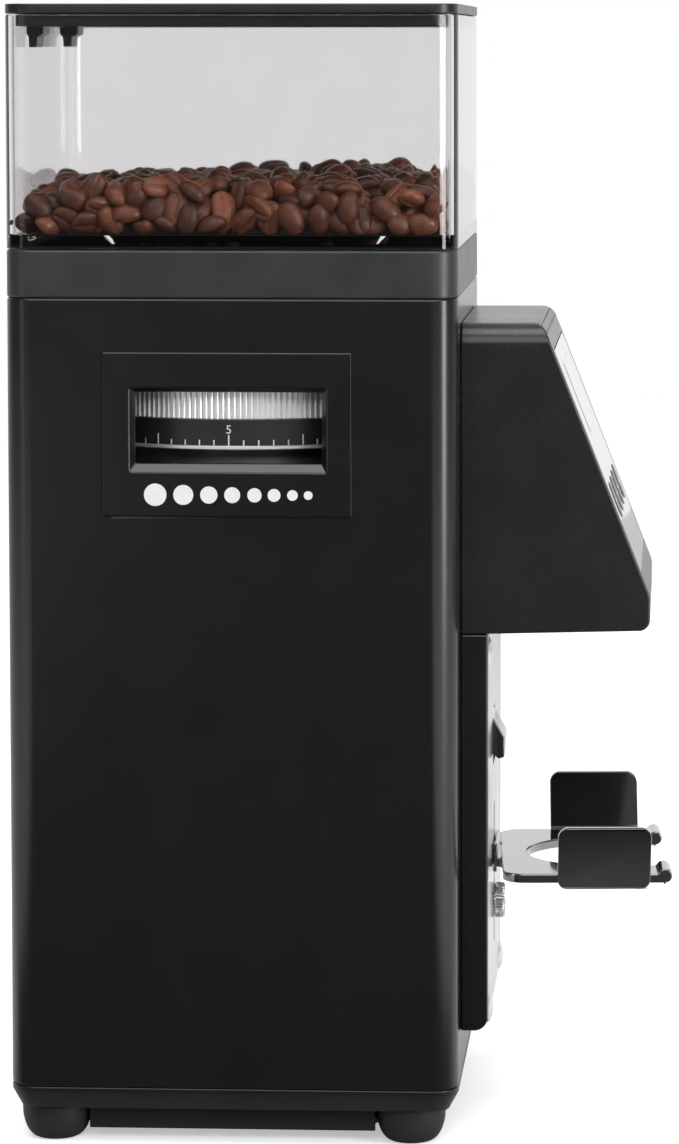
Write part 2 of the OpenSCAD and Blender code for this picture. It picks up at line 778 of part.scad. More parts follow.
module plate_screws() {
    height = 1.6;
    cap_r = (dome_r * dome_r + height * height) / (2 * height);
    cap = [for (i = [0:6]) let (r = dome_r * (1 - i / 6)) [r, sqrt(cap_r * cap_r - r * r) - cap_r + height]];
    color([0.74, 0.75, 0.76]) place() for (y = [-44, 44], z = [45.5, 179])
        translate([column_x, y, z]) rotate([0, 90, 0]) {
            rotate_extrude() polygon(concat([[0, 0]], cap));
            translate([0, 0, -3]) cylinder(r = screw_r, h = 3);
        }
}

// ---- Trigger ----

module trigger() {
    color([0.06, 0.06, 0.06]) place() difference() {
        across(trigger_w) polygon([
            [166.5, 150.3], [173.6, 150.3], [column_x, 148.5], [178.9, 141], [178.9, 133.4],
            [176.5, 132.8], [173.5, 136], [166.5, 136]
        ]);
        translate([trigger_hinge[0], 0, trigger_hinge[1]]) rotate([90, 0, 0])
            cylinder(r = 1.55, h = trigger_w + 2, center = true);
    }
    color([0.06, 0.06, 0.06]) place() across(8) polygon([[158, 136], [166.5, 136], [166.5, 140], [158, 139]]);
}

module trigger_pin() {
    color([0.75, 0.76, 0.78]) place() translate([trigger_hinge[0], 0, trigger_hinge[1]]) rotate([90, 0, 0])
        cylinder(r = 1.5, h = 34, center = true);
}

module trigger_spring() {
    color([0.78, 0.79, 0.80]) place() for (i = [0:6])
        translate([158 + i * 1.1, 0, 144.5]) rotate([0, 90, 0]) rotate_extrude($fn = 32)
            translate([2.4, 0]) circle(0.4, $fn = 16);
}

module microswitch() {
    color([0.10, 0.10, 0.11]) place() {
        translate([137.6, -5, 128]) cube([16.4, 10, 14]);
        translate([154, -1.5, 135.5]) cube([1, 3, 3]);
        for (side = [-1, 1]) translate([148, side > 0 ? 5 : -21, 128]) cube([4, 16, 14]);
        for (side = [-1, 1]) translate([148, side > 0 ? 17 : -21, 128]) cube([body_d - wall - 148, 4, 14]);
        translate([148, -21, 142]) cube([4, 42, 5]);
        translate([152, -4, 142]) cube([4.8, 8, 5]);
    }
}

// ---- Fork ----

module fork_plate() {
    cut_x = 9.9 + fork_cut_r;
    bead_x = fork_reach - tip_r;
    rear_r = 8.4;
    color([0.08, 0.08, 0.09]) place() {
        translate([fork_x, 0, 0]) rotate([0, 0, fork_turn]) {
            translate([0, 0, fork_top - fork_t]) linear_extrude(fork_t) difference() {
                union() {
                    translate([rear_r, -fork_half]) square([bead_x - rear_r, 2 * fork_half]);
                    translate([0, rear_r - fork_half]) square([rear_r * 2, 2 * (fork_half - rear_r)]);
                    for (y = [rear_r - fork_half, fork_half - rear_r]) translate([rear_r, y]) circle(rear_r);
                }
                translate([cut_x, 0]) circle(fork_cut_r);
                translate([cut_x, -fork_cut_r]) square([fork_reach, 2 * fork_cut_r]);
            }
            for (side = [-1, 1])
                translate([bead_x, side * (fork_half + fork_cut_r) / 2, fork_top - 0.75]) rotate([90, 0, 0])
                    cylinder(r = tip_r, h = fork_half - fork_cut_r, center = true);
        }
        // upstand against the facing plate, and the neck through its slot
        translate([column_x + seam, -14, fork_top - fork_t]) cube([1.5, 28, 9]);
        translate([column_x + seam, -14, fork_top - fork_t]) cube([4.4, 28, fork_t]);
        translate([171.2, -3.6, 88]) cube([4.6, 7.2, 9]);
    }
}

module fork_ears() {
    ear_x = 37.4;
    ear_len = 34.4;
    ear_z = [90, 115.7];
    profile = [[-45, 91.2], [-45, 95.5], [-46.9, 96], [-57.6, 115.4], [-58.4, 115.7], [-60.4, 115.7],
               [-61, 114.8], [-48.4, 91.2], [-46.4, 90]];
    color([0.05, 0.05, 0.05]) place() translate([fork_x, 0, 0]) rotate([0, 0, fork_turn])
        for (side = [0, 1]) mirror([0, side, 0]) intersection() {
            translate([ear_x - ear_len / 2, 0, 0]) rotate([90, 0, 90]) linear_extrude(ear_len)
                polygon(profile);
            translate([0, -30, (ear_z[0] + ear_z[1]) / 2]) rotate([90, 0, 0]) linear_extrude(50)
                rounded_rect(ear_x - ear_len / 2, ear_x + ear_len / 2, (ear_z[1] - ear_z[0]) / 2, 4);
        }
}

module fork_carriage() {
    color([0.64, 0.65, 0.66]) place() difference() {
        translate([body_d + 0.7, -18, 66]) cube([171.2 - body_d - 0.7, 36, 42]);
        along_x(160, 175, 0, knob_z) circle(2.55);
    }
}

module fork_knob() {
    head = [column_x + seam, 178.7];
    color([0.78, 0.79, 0.80]) place() {
        along_x(head[0], head[1], 0, knob_z) circle(knob_r);
        along_x(166, head[0], 0, knob_z) circle(2.5);
    }
}

// ---- Rear inlet ----

module inlet_panel() {
    depth = 9;
    skin = 1.5;
    cheek_y = [6.4, 8.4];
    color([0.10, 0.10, 0.11]) place() difference() {
        union() {
            difference() {
                translate([0, -inlet_half, inlet_z[0]])
                    cube([depth, 2 * inlet_half, inlet_z[1] - inlet_z[0]]);
                translate([-1, -inlet_half + skin, inlet_z[0] + skin])
                    cube([depth - skin + 1, 2 * (inlet_half - skin), inlet_z[1] - inlet_z[0] - 2 * skin]);
            }
            for (side = [-1, 1])
                translate([depth, rocker_y + (side > 0 ? cheek_y[0] : -cheek_y[1]), rocker_hinge[1] - 12])
                    cube([16, cheek_y[1] - cheek_y[0], 24]);
            translate([depth + 14, rocker_y - cheek_y[1], rocker_hinge[1] - 12])
                cube([3, 2 * cheek_y[1], 24]);
        }
        translate([depth - 3, rocker_y - 6.4, rocker_hinge[1] - 12]) cube([5, 12.8, 24]);
        translate([rocker_hinge[0], rocker_y, rocker_hinge[1]]) rotate([90, 0, 0])
            cylinder(r = 1.25, h = 30, center = true);
        along_x(depth - 3, depth + 3, gland_y, rocker_hinge[1]) circle(6);
    }
}

module power_rocker() {
    half_w = 6;
    tilt = 8;
    color([0.06, 0.06, 0.06]) place() translate([rocker_hinge[0], rocker_y, rocker_hinge[1]])
        rotate([0, tilt, 0]) union() {
            across(2 * half_w) polygon([
                [-6.5, -10.6], [-5, 0], [-6.5, 10.6], [0, 10.6], [4, 3], [4, -3], [0, -10.6]
            ]);
            rotate([90, 0, 0]) cylinder(r = 1.2, h = 16, center = true);
        }
}

module cable_gland() {
    color([0.08, 0.08, 0.08]) place() difference() {
        union() {
            along_x(1, 4, gland_y, rocker_hinge[1]) circle(7);
            along_x(4, 7.5, gland_y, rocker_hinge[1]) circle(10, $fn = 6);
            along_x(7.5, 20, gland_y, rocker_hinge[1]) circle(6);
            along_x(9, 12.5, gland_y, rocker_hinge[1]) circle(10, $fn = 6);
        }
        along_x(0, 21, gland_y, rocker_hinge[1]) circle(3.8);
    }
}

hopper_lid();
hopper_bin();
coffee_beans();
top_collar();
collar_screws();
body_shell();
base_pan();
bottom_cover();
feet();
foot_screws();
frame_pillars();
scale_bezel();
adjusting_ring();
scale_band();
ring_retainer();
upper_burr_carrier();
upper_burr();
upper_burr_screws();
guide_pins();
carrier_springs();
grinding_chamber();
feed_nut();
lower_burr();
lower_burr_screws();
lower_burr_carrier();
rotor_shaft();
rotor_core();
cooling_fan();
shaft_bearings();
motor_plate();
upper_end_bell();
lower_end_bell();
stator_core();
stator_windings();
motor_bolts();
motor_capacitor();
power_board();
chute_duct();
chute_flap();
spout();
chute_housing();
column_cover();
control_panel();
display_lens();
touch_keys();
control_board();
front_plate();
plate_screws();
trigger();
trigger_pin();
trigger_spring();
microswitch();
fork_plate();
fork_ears();
fork_carriage();
fork_knob();
inlet_panel();
power_rocker();
cable_gland();
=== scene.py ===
"""Looks of the burr coffee grinder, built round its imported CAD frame.

Sizes are in millimetres, measured as in the CAD source: X from the back face of the body,
Y from the middle and Z from the worktop. mesh_of() turns them into metres in the frame's own axes.
"""

import json
import math

import bmesh
import bpy
import numpy as np
from mathutils import Euler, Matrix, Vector


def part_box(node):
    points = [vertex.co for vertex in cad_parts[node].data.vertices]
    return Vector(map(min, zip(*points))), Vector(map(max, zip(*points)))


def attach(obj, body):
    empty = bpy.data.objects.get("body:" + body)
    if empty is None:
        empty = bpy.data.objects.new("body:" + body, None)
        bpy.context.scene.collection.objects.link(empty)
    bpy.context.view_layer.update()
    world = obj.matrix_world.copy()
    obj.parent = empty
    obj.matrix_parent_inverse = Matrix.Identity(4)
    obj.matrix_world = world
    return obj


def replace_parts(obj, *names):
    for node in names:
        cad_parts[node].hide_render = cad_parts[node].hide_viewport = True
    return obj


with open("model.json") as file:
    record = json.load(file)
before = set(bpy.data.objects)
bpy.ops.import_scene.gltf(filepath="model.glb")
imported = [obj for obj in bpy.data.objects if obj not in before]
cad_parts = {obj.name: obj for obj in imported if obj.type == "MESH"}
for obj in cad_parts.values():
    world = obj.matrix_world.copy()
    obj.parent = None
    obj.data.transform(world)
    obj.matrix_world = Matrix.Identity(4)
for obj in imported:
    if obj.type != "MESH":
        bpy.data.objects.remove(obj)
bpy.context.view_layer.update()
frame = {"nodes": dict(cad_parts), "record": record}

MM = 0.001
SLOTS = {part["node"]: part["material_slot"] for part in frame["record"]["subparts"]}
BODIES = {n: body for body, nodes in frame["record"]["behaviour"]["bodies"].items() for n in nodes}
BACK_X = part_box("body_shell")[0].x


def span(node_name):
    """A CAD node's box in millimetres: (x0, x1), (y0, y1), (z0, z1)."""
    low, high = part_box(node_name)
    origin = (BACK_X, 0, 0)
    return [(round((a - o) / MM, 3), round((b - o) / MM, 3)) for a, b, o in zip(low, high, origin)]


def radius_of(node_name):
    """Half of a CAD node's length in X, for nodes that are round about the upright axis."""
    x0, x1 = span(node_name)[0]
    return (x1 - x0) / 2


AXIS_X = sum(span("rotor_shaft")[0]) / 2
_, (BEZEL_FACE, _), (BEZEL_FOOT, _) = span("scale_bezel")
RING_R = radius_of("adjusting_ring")
BAND_R = radius_of("scale_band")
BAND_Z = span("scale_band")[2]
HOPPER_SLAB = 5.3
HOPPER_FLOOR = span("top_collar")[2][1] + HOPPER_SLAB


# ---- Materials ----

PER_METRE = 1000
WAVE_TEXTURE_RATE = 20
SMOOTHEST = 0.02


def shader_node(tree, kind, inputs=None, **settings):
    """A new node. An input is either a value or another node's output."""
    made = tree.nodes.new("ShaderNode" + kind)
    for name, value in settings.items():
        setattr(made, name, value)
    for name, value in (inputs or {}).items():
        if isinstance(value, bpy.types.NodeSocket):
            tree.links.new(value, made.inputs[name])
        else:
            made.inputs[name].default_value = value
    return made


def maths(tree, operation, *values):
    """The output of a Math node over one or two values or outputs."""
    return shader_node(tree, "Math", dict(enumerate(values)), operation=operation).outputs["Value"]


def grain_height(tree, vector, pattern, grain):
    """A height from 0 to 1 with features about grain millimetres across."""
    inputs = {"Vector": vector, "Scale": PER_METRE / grain}
    if pattern == "cells":
        return shader_node(tree, "TexVoronoi", inputs).outputs["Distance"]
    if pattern == "bands":
        rate = inputs["Scale"] / WAVE_TEXTURE_RATE
        inputs.update({"Scale": rate, "Distortion": 0.4, "Detail": 2.0})
        return shader_node(tree, "TexWave", inputs, bands_direction="Z").outputs["Fac"]
    return shader_node(tree, "TexNoise", {**inputs, "Detail": 3.0}).outputs["Fac"]


def surface(name, colour, roughness, grain, depth, metallic=0.0, tint=0.12, stretch=(1, 1, 1),
            pattern="noise", patch=25, rough_spread=0.06, **sockets):
    """A finish with grain of a size and depth, and colour and gloss that drift over patches."""
    material = bpy.data.materials.new(name)
    material.use_nodes = True
    tree = material.node_tree
    shader = tree.nodes["Principled BSDF"]
    place = shader_node(tree, "TexCoord").outputs["Object"]
    vector = shader_node(tree, "Mapping", {"Vector": place, "Scale": stretch}).outputs["Vector"]
    slow = {"Vector": place, "Scale": PER_METRE / patch, "Detail": 4.0}
    drift = shader_node(tree, "TexNoise", slow).outputs["Fac"]
    height = grain_height(tree, vector, pattern, grain)
    shades = shader_node(tree, "ValToRGB", {"Fac": drift})
    dark_and_pale = zip(shades.color_ramp.elements, (0.3, 0.7), (1 - tint, 1 + tint))
    for stop, position, gain in dark_and_pale:
        stop.position = position
        stop.color = [min(1, c * gain) for c in colour] + [1]
    tree.links.new(shades.outputs["Color"], shader.inputs["Base Color"])
    gloss = shader_node(tree, "MapRange", {
        "Value": maths(tree, "ADD", drift, height), "From Min": 0.6, "From Max": 1.4,
        "To Min": max(SMOOTHEST, roughness - rough_spread), "To Max": roughness + rough_spread,
    })
    tree.links.new(gloss.outputs["Result"], shader.inputs["Roughness"])
    bump = shader_node(tree, "Bump", {"Height": height, "Strength": 1.0, "Distance": depth * MM})
    tree.links.new(bump.outputs["Normal"], shader.inputs["Normal"])
    shader.inputs["Metallic"].default_value = metallic
    for socket, value in sockets.items():
        shader.inputs[socket.replace("_", " ")].default_value = value
    material.diffuse_color = [*colour, 1]
    return material


def shell_paint():
    return surface("shell_paint", (0.0078, 0.0078, 0.0081), 0.22, grain=1.4, depth=0.0010,
                   tint=0.1, rough_spread=0.03)


def housing_satin():
    return surface("housing_satin", (0.0125, 0.0125, 0.013), 0.27, grain=1.4, depth=0.0012,
                   rough_spread=0.03)


def collar_satin():
    return surface("collar_satin", (0.023, 0.023, 0.024), 0.36, grain=0.8, depth=0.004, tint=0.16,
                   patch=18)


def black_plastic():
    return surface("black_plastic", (0.0092, 0.0092, 0.0095), 0.34, grain=0.6, depth=0.003,
                   pattern="cells")


def gloss_black():
    return surface("gloss_black", (0.008, 0.008, 0.008), 0.1, grain=3, depth=0.003,
                   rough_spread=0.03, Coat_Weight=1.0, Coat_Roughness=0.04)


def fork_coat():
    return surface("fork_coat", (0.012, 0.012, 0.0125), 0.12, grain=1.2, depth=0.002,
                   rough_spread=0.04, Coat_Weight=1.0, Coat_Roughness=0.05, Coat_IOR=2.2,
                   Specular_IOR_Level=1.0)


def clear_plastic():
    return surface("clear_plastic", (0.875, 0.867, 0.873), 0.03, grain=60, depth=0.01, tint=0.01,
                   rough_spread=0.02, Transmission_Weight=1.0, IOR=1.49)


def knurled_metal():
    return surface("knurled_metal", (0.93, 0.93, 0.93), 0.42, grain=0.25, depth=0.004,
                   metallic=0.7, stretch=(1, 1, 0.05), tint=0.06)


def band_black():
    return surface("band_black", (0.016, 0.016, 0.017), 0.42, grain=0.3, depth=0.003)


def facing_steel():
    return surface("facing_steel", (0.60, 0.605, 0.61), 0.2, grain=0.12, depth=0.001, metallic=1.0,
                   stretch=(1, 0.01, 1), tint=0.04)


def screw_steel():
    return surface("screw_steel", (0.68, 0.69, 0.70), 0.22, grain=0.3, depth=0.002, metallic=1.0,
                   patch=4)


def burr_steel():
    return surface("burr_steel", (0.52, 0.52, 0.53), 0.3, grain=0.15, depth=0.004, metallic=1.0,
                   patch=6)


def cast_metal():
    return surface("cast_metal", (0.50, 0.51, 0.52), 0.48, grain=0.7, depth=0.03, metallic=1.0,
                   tint=0.15, patch=12)


def brass():
    return surface("brass", (0.62, 0.46, 0.22), 0.3, grain=0.2, depth=0.004, metallic=1.0, patch=9)


def shaft_steel():
    return surface("shaft_steel", (0.62, 0.62, 0.64), 0.24, grain=0.12, depth=0.002, metallic=1.0,
                   stretch=(0.05, 0.05, 1))


def core_iron():
    return surface("core_iron", (0.18, 0.18, 0.19), 0.5, grain=1.0, depth=0.06, metallic=0.9,
                   pattern="bands")


def winding_copper():
    return surface("winding_copper", (0.52, 0.20, 0.07), 0.3, grain=0.9, depth=0.25, metallic=0.8,
                   pattern="bands", Coat_Weight=0.6)


def fan_plastic():
    return surface("fan_plastic", (0.04, 0.04, 0.043), 0.45, grain=0.5, depth=0.01)


def board_green():
    return surface("board_green", (0.02, 0.12, 0.055), 0.35, grain=2.2, depth=0.03,
                   pattern="cells", tint=0.25, patch=3, Coat_Weight=0.3)


def capacitor_white():
    return surface("capacitor_white", (0.72, 0.72, 0.68), 0.4, grain=0.8, depth=0.01)


def silicone():
    return surface("silicone", (0.50, 0.50, 0.47), 0.55, grain=0.4, depth=0.01,
                   Subsurface_Weight=0.2)


def foot_rubber():
    return surface("foot_rubber", (0.016, 0.016, 0.016), 0.5, grain=0.6, depth=0.02,
                   pattern="cells")


def panel_black():
    return surface("panel_black", (0.012, 0.012, 0.013), 0.12, grain=1.4, depth=0.001,
                   rough_spread=0.03, Coat_Weight=1.0, Coat_Roughness=0.03)


def display_glass():
    return surface("display_glass", (0.004, 0.004, 0.005), 0.05, grain=20, depth=0.01,
                   rough_spread=0.02, Coat_Weight=1.0)


def key_grey():
    return surface("key_grey", (0.05, 0.05, 0.052), 0.3, grain=0.4, depth=0.003)


def knob_steel():
    return surface("knob_steel", (0.60, 0.60, 0.60), 0.28, grain=0.2, depth=0.003, metallic=1.0,
                   patch=4)


def mark_white():
    return surface("mark_white", (0.78, 0.78, 0.77), 0.5, grain=0.2, depth=0.002, tint=0.03,
                   patch=2)


def beans():
    """Roasted bean skin: each bean has its own shade, with fine wrinkles and an oily gloss."""
    material = surface("beans", (0.084, 0.026, 0.012), 0.42, grain=1.1, depth=0.08, tint=0.3,
                       patch=3, rough_spread=0.1, Specular_IOR_Level=0.25, Coat_Weight=0.14,
                       Coat_Roughness=0.16)
    tree = material.node_tree
    shader = tree.nodes["Principled BSDF"]
    drifting = shader.inputs["Base Color"].links[0].from_socket
    shade = shader_node(tree, "Attribute", attribute_name="shade").outputs["Fac"]
    gain = shader_node(tree, "MapRange", {"Value": shade, "To Min": 0.3, "To Max": 2.2})
    toned = shader_node(tree, "VectorMath", {0: drifting}, operation="SCALE")
    tree.links.new(gain.outputs["Result"], toned.inputs["Scale"])
    tree.links.new(toned.outputs["Vector"], shader.inputs["Base Color"])
    return material


def bean_shadow():
    return surface("bean_shadow", (0.012, 0.006, 0.004), 0.7, grain=3, depth=0.3, tint=0.3,
                   patch=5)


# Matte black with no gloss: the colour of the painted shade sheet under the hopper's floor.
def inlay_black():
    return surface("inlay_black", (0.012, 0.012, 0.012), 0.85, grain=0.5, depth=0.02,
                   Specular_IOR_Level=0.0)


FINISHES = {
    make.__name__: make() for make in (
        shell_paint, housing_satin, collar_satin, black_plastic, gloss_black, fork_coat,
        clear_plastic, knurled_metal, band_black, facing_steel, screw_steel, burr_steel,
        cast_metal, brass, shaft_steel, core_iron, winding_copper, fan_plastic, board_green,
        capacitor_white, silicone, foot_rubber, panel_black, display_glass, key_grey,
        knob_steel, mark_white, beans, bean_shadow, inlay_black,
    )
}


# ---- Building pieces ----


def link(name, mesh, body, finish):
    """A new piece from a mesh in the frame's axes, riding on a body."""
    piece = bpy.data.objects.new(name, mesh)
    bpy.context.scene.collection.objects.link(piece)
    mesh.materials.clear()
    mesh.materials.append(FINISHES[finish])
    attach(piece, body)
    return piece


def smooth(mesh, angle=38):
    """Smooth shading, with edges sharper than the angle in degrees kept sharp."""
    mesh.shade_smooth()
    mesh.set_sharp_from_angle(angle=math.radians(angle))


def applied(piece):
    """The piece's mesh with its modifiers applied in place."""
    graph = bpy.context.evaluated_depsgraph_get()
    graph.update()
    mesh = bpy.data.meshes.new_from_object(
        piece.evaluated_get(graph), preserve_all_data_layers=True, depsgraph=graph)
    piece.modifiers.clear()
    piece.data = mesh
    return piece


SAME_POINT = 0.002 * MM
FLAT_ANGLE = math.radians(0.6)
WIDE_FACE = 4000 * MM ** 2


def refined(node_name, width=0.3, segments=2, angle=32, reshape=None, finish=None):
    """A copy of a CAD node with its sharp edges rounded, standing for that node.

    Wide faces are cut into convex ones first, because slots in them upset the rounding.
    """
    mesh = frame["nodes"][node_name].data.copy()
    work = bmesh.new()
    work.from_mesh(mesh)
    bmesh.ops.remove_doubles(work, verts=work.verts, dist=SAME_POINT)
    bmesh.ops.dissolve_limit(work, angle_limit=FLAT_ANGLE, verts=work.verts, edges=work.edges)
    wide = [face for face in work.faces if face.calc_area() > WIDE_FACE]
    bmesh.ops.connect_verts_concave(work, faces=wide)
    if reshape:
        reshape(work)
    weight = work.edges.layers.float.new("bevel_weight_edge")
    for edge in work.edges:
        if edge.is_manifold and edge.calc_face_angle(0) > math.radians(angle):
            edge[weight] = 1.0
    work.to_mesh(mesh)
    work.free()
    slot = SLOTS[node_name]
    piece = link(f"{node_name}_finished", mesh, BODIES[node_name], finish or slot)
    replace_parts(piece, node_name)
    bevel = piece.modifiers.new("bevel", "BEVEL")
    bevel.limit_method = "WEIGHT"
    bevel.width = width * MM
    bevel.segments = segments
    bevel.use_clamp_overlap = False
    bevel.miter_outer = "MITER_ARC"
    applied(piece)
    smooth(piece.data)
    weighted = piece.modifiers.new("normals", "WEIGHTED_NORMAL")
    weighted.keep_sharp = True
    weighted.mode = "FACE_AREA"
    return applied(piece)


def mesh_of(name, points, faces):
    """A mesh from points in millimetres in the CAD source's axes."""
    mesh = bpy.data.meshes.new(name)
    shift = np.array([BACK_X / MM, 0, 0])
    mesh.from_pydata(((np.asarray(points, float) + shift) * MM).tolist(), [], faces)
    mesh.validate()
    mesh.update()
    return mesh


def round_turns(count):
    """Equal turns all the way round, in radians."""
    return [2 * math.pi * k / count for k in range(count)]


def disc(middle, radius, sides=32):
    """A ring of points round a middle (across, up)."""
    return [(middle[0] + radius * math.cos(a), middle[1] + radius * math.sin(a))
            for a in round_turns(sides)]


def wrapped(rows, columns, closed=False):
    """Faces between rows of points that run all the way round, and from the last row if closed."""
    faces = []
    for row in range(rows if closed else rows - 1):
        above = (row + 1) % rows
        for column in range(columns):
            beside = (column + 1) % columns
            faces.append((row * columns + column, row * columns + beside,
                          above * columns + beside, above * columns + column))
    return faces


def lathe(rows, columns, place, tooth=None):
    """Points and faces of a closed turned shape. rows are (radius, height, knurl depth)."""
    points = []
    for radius, height, knurl in rows:
        for column, angle in enumerate(round_turns(columns)):
            at = radius - (knurl * tooth(column) if tooth else 0)
            points.append(place(at * math.cos(angle), at * math.sin(angle), height))
    return points, wrapped(len(rows), columns, closed=True)


def upright(a, b, height):
    """Places a turned shape about the machine's upright axis."""
    return (AXIS_X + a, b, height)


# ---- Hopper, lid and beans ----


def hopper_lid():
    refined("hopper_lid", 0.5, 3)


def hopper_bin():
    """The bin lets the lights' shadow rays through, so that the beans inside are lit."""
    piece = refined("hopper_bin", 0.45, 3)
    piece.visible_shadow = False
    piece.visible_diffuse = False


BEAN_LENGTH, BEAN_WIDTH, BEAN_HEIGHT = 12.6, 9.5, 6.4
BELLY_SHARE, BACK_SHARE = 0.34, 0.66
END_FULLNESS, BELLY_FLATNESS = 0.92, 0.55
GROOVE_DEPTH, GROOVE_SWAY, SWAY_RATE = 1.1, 0.45, 2.6
BEAN_SPANS = 11
BEAN_TURNS = (0, 7, 22, 48, 78, 108, 140, 180, 220, 252, 282, 312, 338, 353)


def bean_shape():
    """One bean about its own middle: long in X, flat and grooved underneath."""
    points = []
    for ring in range(BEAN_SPANS + 1):
        lengthwise = math.pi * ring / BEAN_SPANS
        along, girth = -math.cos(lengthwise), math.sin(lengthwise) ** END_FULLNESS
        for turn in BEAN_TURNS:
            a = math.radians(turn)
            y = girth * math.sin(a) * BEAN_WIDTH / 2
            if math.cos(a) > 0:
                y += GROOVE_SWAY * math.sin(SWAY_RATE * along) * girth
                z = -girth * abs(math.cos(a)) ** BELLY_FLATNESS * BEAN_HEIGHT * BELLY_SHARE
            else:
                z = -girth * math.cos(a) * BEAN_HEIGHT * BACK_SHARE
            if turn == 0:
                z += GROOVE_DEPTH * girth
            points.append((along * BEAN_LENGTH / 2, y, z))
    return np.array(points), wrapped(BEAN_SPANS + 1, len(BEAN_TURNS))


def settled(points, low, high, spacing, rounds):
    """Points pushed apart until they lie about a bean's girth apart, pulled down a little."""
    push_share, sink, tiny, far = 0.22, 0.05, 1e-6, 1e6
    points = points.copy()
    for _ in range(rounds):
        gap = points[:, None, :] - points[None, :, :]
        distance = np.sqrt((gap ** 2).sum(2)) + tiny
        np.fill_diagonal(distance, far)
        push = np.clip(spacing - distance, 0, None) / distance
        points += push_share * (gap * push[:, :, None]).sum(1)
        points[:, 2] -= sink
        points = np.clip(points, low, high(points))
    return points


def bean_turn(thin_axis, draw, wobble):
    """A turn that lays a bean's thin side along an axis, with its length in a random direction."""
    lie = Vector(thin_axis).to_track_quat("Z", "Y").to_matrix()
    roll = draw.normal(0, wobble) + math.pi * (draw.random() < 0.5)
    spin = Euler((roll, draw.normal(0, wobble), 0)).to_matrix()
    return np.array(lie @ Euler((0, 0, draw.uniform(0, 2 * math.pi))).to_matrix() @ spin)


def heap(across, deep):
    """Height of the heap's top over the box's, at shares of its length and depth: a wide swell,
    less a drop, with a slope up towards the front, and ripples of a bean's size on it."""
    swell, drop, slope, slope_end, ripple = 2.6, 3.2, 4.0, 0.6, 1.9
    swelling = swell * np.sin(1.9 * across + 0.5) * np.cos(1.3 * (deep - 0.6))
    rippling = ripple * np.sin(9 * across + 4 * deep) * np.cos(7 * deep + 2)
    return swelling - drop + slope * np.minimum(across, slope_end) + rippling


def layer_places(draw, low, high):
    """Middles of the beans that show in the box above the hopper floor, and their gaps to its
    walls."""
    size = high - low
    count, spacing, wall_layer, top_layer = 1050, 7.9, 9, 7

    def ceiling(points):
        top = np.tile(high, (len(points), 1))
        top[:, 2] += heap(*((points - low) / size).T[:2])
        return top

    start = draw.uniform(low, high, (count, 3))
    places = settled(start, low, ceiling, spacing, rounds=160)
    gaps = np.hstack([(places - low)[:, :2], (high - places)[:, :2]])
    seen = (gaps.min(1) < wall_layer) | (ceiling(places)[:, 2] - places[:, 2] < top_layer)
    return places[seen], gaps[seen]


CONE_SLOPE, CONE_R, CONE_FOOT = 1.082, 18.4, 5


class BeanHeap:
    """Beans gathered into one mesh, each with its own size and shade."""

    def __init__(self, draw):
        self.draw = draw
        self.shape, self.faces = bean_shape()
        self.groove = np.arange(len(self.shape)) % len(BEAN_TURNS) == 0
        self.points, self.shades = [], []

    def add(self, place, turn):
        draw, groove_shade = self.draw, 0.45
        whole = draw.uniform(0.88, 1.06)
        size = whole * np.array([draw.uniform(0.92, 1.05), draw.uniform(0.93, 1.06), 1])
        bean = (self.shape * size) @ turn.T + place
        self.points.append(bean)
        self.shades.append(np.clip(draw.beta(2.0, 3.0) + groove_shade * self.groove, 0, 1))
        return bean

    def mesh(self, name):
        starts = range(0, len(self.points) * len(self.shape), len(self.shape))
        faces = [[start + i for i in face] for start in starts for face in self.faces]
        mesh = mesh_of(name, np.concatenate(self.points), faces)
        shade = mesh.attributes.new("shade", "FLOAT", "POINT")
        shade.data.foreach_set("value", np.concatenate(self.shades).astype(np.float32))
        mesh.shade_smooth()
        return mesh


def layer_beans(beans, draw):
    """Beans along the walls and over the top. Most of those at a wall lie flat against it."""
    (x0, x1), (y0, y1), (_, top) = span("coffee_beans")
    margin, half_bean, wobble = 3.9, 3.4, 0.5
    at_wall, flat_share = 3.5, 0.75
    play, headroom = 0.1, 8
    low = np.array([x0 + margin, y0 + margin, HOPPER_FLOOR + half_bean])
    high = np.array([x1 - margin, y1 - margin, top - half_bean])
    walls_low = np.array([x0 - play, y0 - play, HOPPER_FLOOR])
    walls_high = np.array([x1 + play, y1 + play, top + headroom])
    up, outward = (0, 0, 1), ((-1, 0, 0), (0, -1, 0), (1, 0, 0), (0, 1, 0))
    for place, gap in zip(*layer_places(draw, low, high)):
        against = gap.min() < at_wall and draw.random() < flat_share
        bean = beans.add(place, bean_turn(outward[gap.argmin()] if against else up, draw, wobble))
        past_low = np.clip(walls_low - bean.min(0), 0, None)
        past_high = np.clip(bean.max(0) - walls_high, 0, None)
        bean += past_low - past_high


def cone_beans(beans, draw):
    """Rings of beans down the funnel, each lying on its slope."""
    cone_low = span("coffee_beans")[2][0]
    below_floor, level_step, along_step, wobble = 3, 5.6, 8.3, 0.12
    normal = np.array([1, CONE_SLOPE]) / math.hypot(1, CONE_SLOPE)
    for level in np.arange(cone_low + CONE_FOOT, HOPPER_FLOOR - below_floor, level_step):
        radius = CONE_R + CONE_SLOPE * (level - cone_low)
        for angle in np.arange(0, 2 * math.pi, along_step / radius) + draw.uniform(0, 1):
            radial = np.array([math.cos(angle), math.sin(angle)])
            place = np.array(upright(*(radius * radial), level))
            beans.add(place, bean_turn((*(radial * normal[0]), -normal[1]), draw, wobble))


def coffee_beans():
    """Loose beans wherever they show: along the walls, over the top and down the cone."""
    draw = np.random.default_rng(7)
    beans = BeanHeap(draw)
    layer_beans(beans, draw)
    cone_beans(beans, draw)
    mesh = beans.mesh("coffee_beans_loose")
    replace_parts(link("coffee_beans_loose", mesh, "hopper", "beans"), "coffee_beans")


